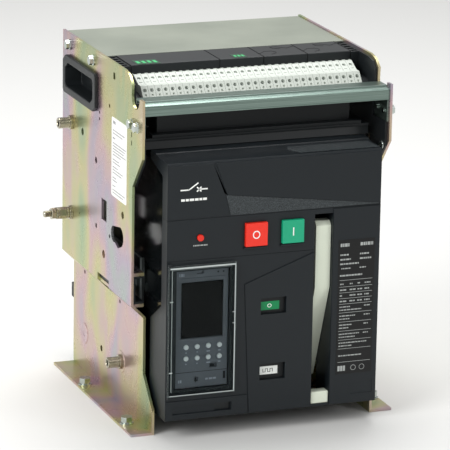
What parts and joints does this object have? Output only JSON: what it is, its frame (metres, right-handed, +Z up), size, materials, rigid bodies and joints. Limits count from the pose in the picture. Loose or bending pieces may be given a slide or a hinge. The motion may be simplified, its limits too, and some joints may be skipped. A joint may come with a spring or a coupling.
{
  "type": "air circuit breaker",
  "caption": "Draw-out air circuit breaker racked into a zinc-plated steel cradle, with terminals on top, a charging handle, pushbuttons, status windows and a trip unit behind a clear door.",
  "frame": {"origin": "on the floor plane under the feet, at the middle of the cradle's side plates", "axes": "+Z up, -Y the breaker's front panel, +X to the right when facing the panel"},
  "size_m": [0.3595, 0.38, 0.43],
  "materials": {
    "left_side_plate": "iridescent zinc-plated sheet steel, semi-gloss",
    "right_side_plate": "iridescent zinc-plated sheet steel, semi-gloss",
    "top_cover": "galvanised sheet steel, satin",
    "base_plate": "zinc-plated sheet steel, satin",
    "rear_base": "black moulded thermoset, matt",
    "rear_terminals": "silver-plated copper, satin",
    "cross_rail": "passivated folded steel, satin",
    "side_bolts": "zinc-plated screws, satin",
    "foot_bolts": "zinc-plated screws, satin",
    "grip_cups": "dark grey moulded plastic, matt",
    "earth_stud": "yellow passivated stud and nuts, satin",
    "interlock_bushings": "yellow passivated turned bushings, satin",
    "terminal_carrier": "black moulded plastic, matt",
    "terminal_strip": "off-white moulded plastic, satin",
    "aux_modules": "black moulded plastic, satin",
    "secondary_socket": "black moulded plastic, matt",
    "rear_housing": "black glass-filled thermoset, matt",
    "front_housing": "black glass-filled thermoset, matt",
    "arc_chutes": "brown insulating moulding, matt",
    "splitter_plates": "plain steel splitter plates, satin",
    "arc_shroud": "black moulded plastic, matt",
    "upper_contacts": "bare copper with silvered contact, satin",
    "lower_contacts": "bare copper, satin",
    "contact_clusters": "silver-plated copper fingers with steel springs, satin",
    "current_transformers": "grey potting resin, matt",
    "carriage": "zinc-plated steel straps and shoes, satin",
    "secondary_plug": "black moulded plastic, matt",
    "mechanism_frame": "yellow zinc-plated steel, satin",
    "closing_spring": "oiled spring wire, satin",
    "charging_motor": "grey motor and gearbox, satin",
    "release_coils": "taped release coils on a steel strap, matt",
    "upper_cover": "charcoal moulded plastic, fine grain",
    "front_cover": "charcoal moulded plastic, fine grain",
    "slot_block": "pale cream moulded plastic, satin",
    "trip_unit": "blue-grey moulded plastic, satin",
    "left_rail": "black phosphated steel, satin",
    "right_rail": "black phosphated steel, satin",
    "upper_shutter": "yellow insulating sheet, matt",
    "lower_shutter": "yellow insulating sheet, matt",
    "racking_screw": "turned steel screw, satin",
    "racking_shutter": "black plastic slide, matt",
    "trip_door": "clear polycarbonate, gloss",
    "reset_button": "red plastic, gloss",
    "off_button": "red plastic, semi-gloss",
    "on_button": "green plastic, semi-gloss",
    "charging_handle": "pale cream moulded plastic, satin",
    "charging_cam": "steel cam and ratchet, satin",
    "status_flag": "green printed flag, satin",
    "charge_flag": "white printed flag, satin",
    "main_shaft": "ground steel shaft and levers, satin",
    "drive_links": "pale insulating laminate, matt",
    "moving_contacts": "bare copper arms with silvered tips, satin",
    "trip_key_1": "light grey plastic key, satin",
    "trip_key_2": "light grey plastic key, satin",
    "trip_key_3": "light grey plastic key, satin",
    "trip_key_4": "light grey plastic key, satin",
    "trip_key_5": "light grey plastic key, satin",
    "trip_key_6": "light grey plastic key, satin",
    "trip_key_7": "light grey plastic key, satin",
    "trip_key_8": "light grey plastic key, satin"
  },
  "bodies": {
    "cradle": {"left_side_plate": "left_side_plate", "right_side_plate": "right_side_plate", "top_cover": "top_cover", "base_plate": "base_plate", "rear_base": "rear_base", "rear_terminals": "rear_terminals", "cross_rail": "cross_rail", "side_bolts": "side_bolts", "foot_bolts": "foot_bolts", "grip_cups": "grip_cups", "earth_stud": "earth_stud", "interlock_bushings": "interlock_bushings", "terminal_carrier": "terminal_carrier", "terminal_strip": "terminal_strip", "aux_modules": "aux_modules", "secondary_socket": "secondary_socket"},
    "breaker": {"rear_housing": "rear_housing", "front_housing": "front_housing", "arc_chutes": "arc_chutes", "splitter_plates": "splitter_plates", "arc_shroud": "arc_shroud", "upper_contacts": "upper_contacts", "lower_contacts": "lower_contacts", "contact_clusters": "contact_clusters", "current_transformers": "current_transformers", "carriage": "carriage", "secondary_plug": "secondary_plug", "mechanism_frame": "mechanism_frame", "closing_spring": "closing_spring", "charging_motor": "charging_motor", "release_coils": "release_coils", "upper_cover": "upper_cover", "front_cover": "front_cover", "slot_block": "slot_block", "trip_unit": "trip_unit"},
    "left_rail": {"left_rail": "left_rail"},
    "right_rail": {"right_rail": "right_rail"},
    "upper_shutter": {"upper_shutter": "upper_shutter"},
    "lower_shutter": {"lower_shutter": "lower_shutter"},
    "racking_screw": {"racking_screw": "racking_screw"},
    "racking_shutter": {"racking_shutter": "racking_shutter"},
    "trip_door": {"trip_door": "trip_door"},
    "reset_button": {"reset_button": "reset_button"},
    "off_button": {"off_button": "off_button"},
    "on_button": {"on_button": "on_button"},
    "charging_handle": {"charging_handle": "charging_handle"},
    "charging_cam": {"charging_cam": "charging_cam"},
    "status_flag": {"status_flag": "status_flag"},
    "charge_flag": {"charge_flag": "charge_flag"},
    "main_shaft": {"main_shaft": "main_shaft"},
    "drive_links": {"drive_links": "drive_links"},
    "moving_contacts": {"moving_contacts": "moving_contacts"},
    "trip_key_1": {"trip_key_1": "trip_key_1"},
    "trip_key_2": {"trip_key_2": "trip_key_2"},
    "trip_key_3": {"trip_key_3": "trip_key_3"},
    "trip_key_4": {"trip_key_4": "trip_key_4"},
    "trip_key_5": {"trip_key_5": "trip_key_5"},
    "trip_key_6": {"trip_key_6": "trip_key_6"},
    "trip_key_7": {"trip_key_7": "trip_key_7"},
    "trip_key_8": {"trip_key_8": "trip_key_8"}
  },
  "joints": [
    {"name": "left_rail_slide", "type": "slide", "parent": "cradle", "child": "left_rail", "axis": [0, -1, 0], "range_m": [0, 0.2]},
    {"name": "right_rail_slide", "type": "slide", "parent": "cradle", "child": "right_rail", "axis": [0, -1, 0], "range_m": [0, 0.2]},
    {"name": "racking", "type": "slide", "parent": "left_rail", "child": "breaker", "axis": [0, -1, 0], "range_m": [0, 0.055]},
    {"name": "racking_screw_spin", "type": "hinge", "parent": "breaker", "child": "racking_screw", "pos_m": [-0.062, -0.09, 0.0365], "axis": [0, 1, 0], "range_deg": [0, 1985]},
    {"name": "upper_shutter_slide", "type": "slide", "parent": "cradle", "child": "upper_shutter", "axis": [0, 0, -1], "range_m": [0, 0.052]},
    {"name": "lower_shutter_slide", "type": "slide", "parent": "cradle", "child": "lower_shutter", "axis": [0, 0, 1], "range_m": [0, 0.052]},
    {"name": "charging_handle_pull", "type": "hinge", "parent": "breaker", "child": "charging_handle", "pos_m": [0.0637, -0.11, 0.066], "axis": [1, 0, 0], "range_deg": [0, 70], "stiffness_Nm_per_rad": 1.2, "springref_deg": -34.38},
    {"name": "charging_cam_turn", "type": "hinge", "parent": "breaker", "child": "charging_cam", "pos_m": [0.004, -0.11, 0.11], "axis": [1, 0, 0], "range_deg": [0, 22]},
    {"name": "charge_flag_slide", "type": "slide", "parent": "breaker", "child": "charge_flag", "axis": [0, 0, 1], "range_m": [0, 0.022], "deforming": ["closing_spring"]},
    {"name": "main_shaft_turn", "type": "hinge", "parent": "breaker", "child": "main_shaft", "pos_m": [0, -0.098, 0.165], "axis": [-1, 0, 0], "range_deg": [0, 60], "stiffness_Nm_per_rad": 8, "springref_deg": -34.38},
    {"name": "drive_links_swing", "type": "hinge", "parent": "main_shaft", "child": "drive_links", "pos_m": [0, -0.111, 0.1875], "axis": [-1, 0, 0], "range_deg": [-64, 0]},
    {"name": "moving_contacts_swing", "type": "hinge", "parent": "breaker", "child": "moving_contacts", "pos_m": [0, -0.008, 0.12], "axis": [-1, 0, 0], "range_deg": [0, 24]},
    {"name": "status_flag_slide", "type": "slide", "parent": "breaker", "child": "status_flag", "axis": [0, 0, 1], "range_m": [0, 0.022]},
    {"name": "off_button_press", "type": "slide", "parent": "breaker", "child": "off_button", "axis": [0, 1, 0], "range_m": [0, 0.004], "stiffness_N_per_m": 600, "springref_m": -0.003},
    {"name": "on_button_press", "type": "slide", "parent": "breaker", "child": "on_button", "axis": [0, 1, 0], "range_m": [0, 0.004], "stiffness_N_per_m": 600, "springref_m": -0.003},
    {"name": "reset_button_press", "type": "slide", "parent": "breaker", "child": "reset_button", "axis": [0, 1, 0], "range_m": [0, 0.002], "stiffness_N_per_m": 600, "springref_m": -0.003},
    {"name": "trip_key_1_press", "type": "slide", "parent": "breaker", "child": "trip_key_1", "axis": [0, 1, 0], "range_m": [0, 0.0012], "stiffness_N_per_m": 500, "springref_m": -0.002},
    {"name": "trip_key_2_press", "type": "slide", "parent": "breaker", "child": "trip_key_2", "axis": [0, 1, 0], "range_m": [0, 0.0012], "stiffness_N_per_m": 500, "springref_m": -0.002},
    {"name": "trip_key_3_press", "type": "slide", "parent": "breaker", "child": "trip_key_3", "axis": [0, 1, 0], "range_m": [0, 0.0012], "stiffness_N_per_m": 500, "springref_m": -0.002},
    {"name": "trip_key_4_press", "type": "slide", "parent": "breaker", "child": "trip_key_4", "axis": [0, 1, 0], "range_m": [0, 0.0012], "stiffness_N_per_m": 500, "springref_m": -0.002},
    {"name": "trip_key_5_press", "type": "slide", "parent": "breaker", "child": "trip_key_5", "axis": [0, 1, 0], "range_m": [0, 0.0012], "stiffness_N_per_m": 500, "springref_m": -0.002},
    {"name": "trip_key_6_press", "type": "slide", "parent": "breaker", "child": "trip_key_6", "axis": [0, 1, 0], "range_m": [0, 0.0012], "stiffness_N_per_m": 500, "springref_m": -0.002},
    {"name": "trip_key_7_press", "type": "slide", "parent": "breaker", "child": "trip_key_7", "axis": [0, 1, 0], "range_m": [0, 0.0012], "stiffness_N_per_m": 500, "springref_m": -0.002},
    {"name": "trip_key_8_press", "type": "slide", "parent": "breaker", "child": "trip_key_8", "axis": [0, 1, 0], "range_m": [0, 0.0012], "stiffness_N_per_m": 500, "springref_m": -0.002},
    {"name": "trip_door_swing", "type": "hinge", "parent": "breaker", "child": "trip_door", "pos_m": [-0.1314, -0.1765, 0.13425], "axis": [0, 0, -1], "range_deg": [0, 120]},
    {"name": "racking_shutter_slide", "type": "slide", "parent": "breaker", "child": "racking_shutter", "axis": [-1, 0, 0], "range_m": [0, 0.022], "stiffness_N_per_m": 60, "springref_m": -0.01}
  ],
  "couplings": [
    {"joint": "right_rail_slide", "follows": "left_rail_slide", "ratio": 1},
    {"joint": "upper_shutter_slide", "follows": "left_rail_slide", "ratio": 0.26},
    {"joint": "lower_shutter_slide", "follows": "left_rail_slide", "ratio": 0.26},
    {"joint": "racking_screw_spin", "follows": "racking", "rad_per_m": 628.32},
    {"joint": "charging_cam_turn", "follows": "charging_handle_pull", "ratio": 0.25},
    {"joint": "charge_flag_slide", "follows": "charging_handle_pull", "m_per_rad": 0.018},
    {"joint": "drive_links_swing", "follows": "main_shaft_turn", "ratio": -1.065},
    {"joint": "moving_contacts_swing", "follows": "main_shaft_turn", "ratio": 0.4},
    {"joint": "status_flag_slide", "follows": "main_shaft_turn", "m_per_rad": 0.021}
  ]
}
